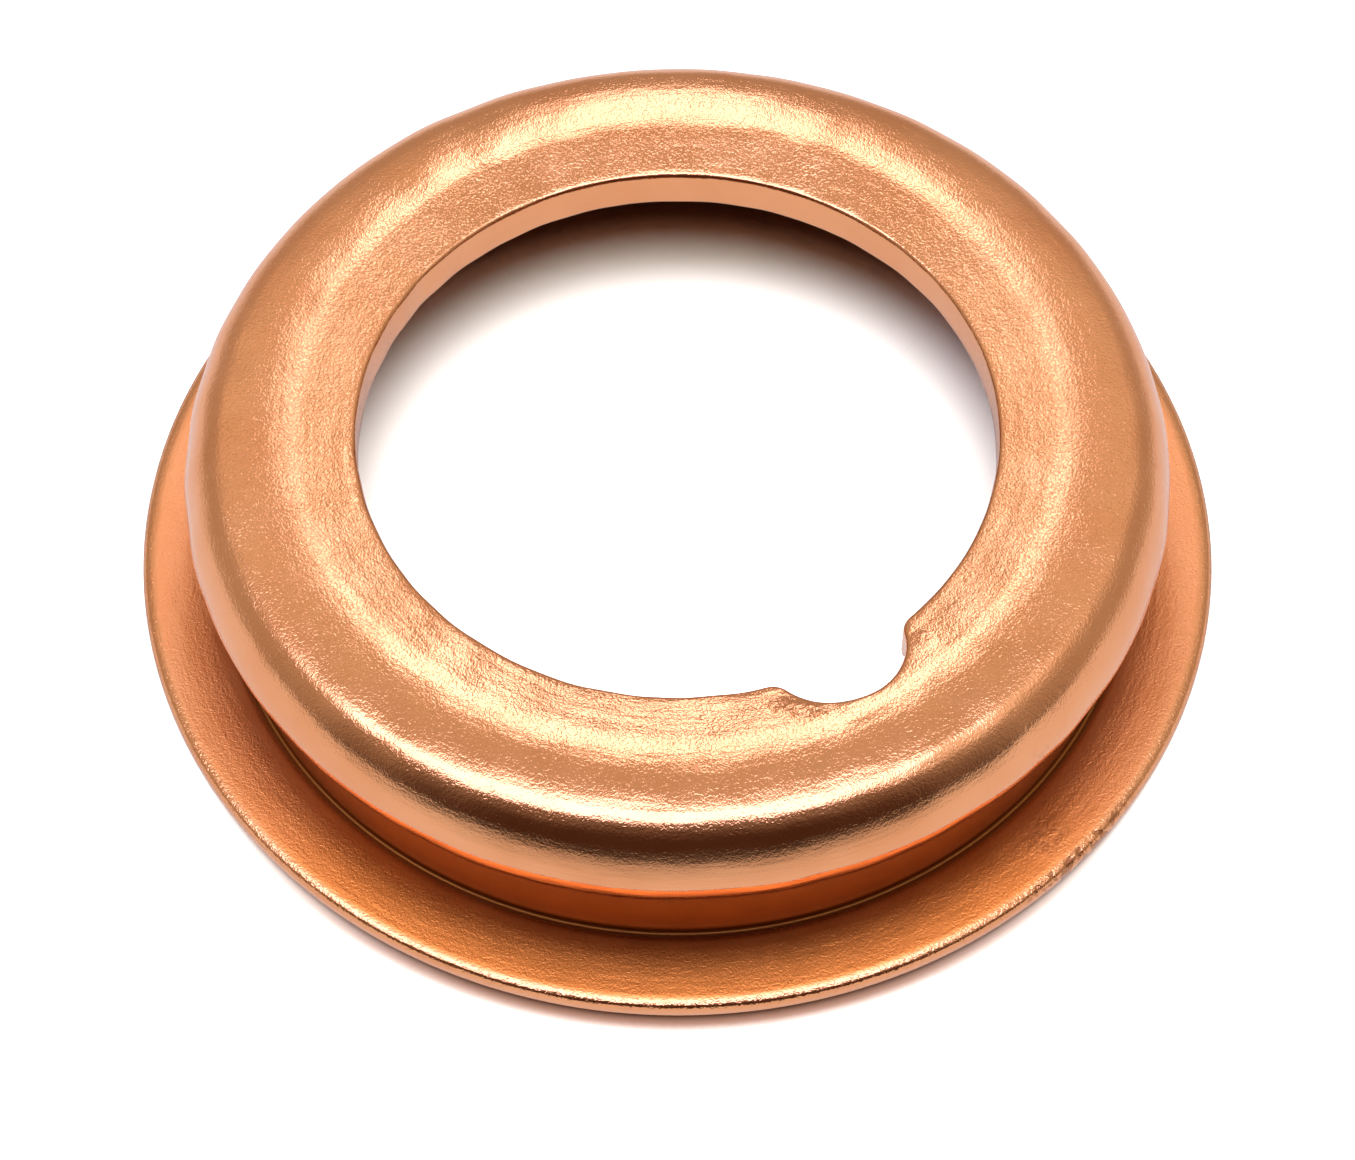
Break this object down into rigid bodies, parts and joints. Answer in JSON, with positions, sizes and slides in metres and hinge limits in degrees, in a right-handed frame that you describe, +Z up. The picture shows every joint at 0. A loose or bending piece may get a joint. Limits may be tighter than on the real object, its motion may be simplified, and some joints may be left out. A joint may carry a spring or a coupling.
{
  "type": "copper crush washer",
  "caption": "Pressed copper sealing washer: a hollow ring with a thin flange, a round bead and a notched bore, made to crush under a plug.",
  "frame": {"origin": "centre of the bore's axis, on the surface that the ring's root stands on", "axes": "+Z up along the bore, from the flange to the crown; the notch lies between +X and -Y"},
  "size_m": [0.0212, 0.0212, 0.0043],
  "materials": {
    "copper": null
  },
  "bodies": {
    "root": {"crush_washer": "copper"}
  },
  "joints": []
}
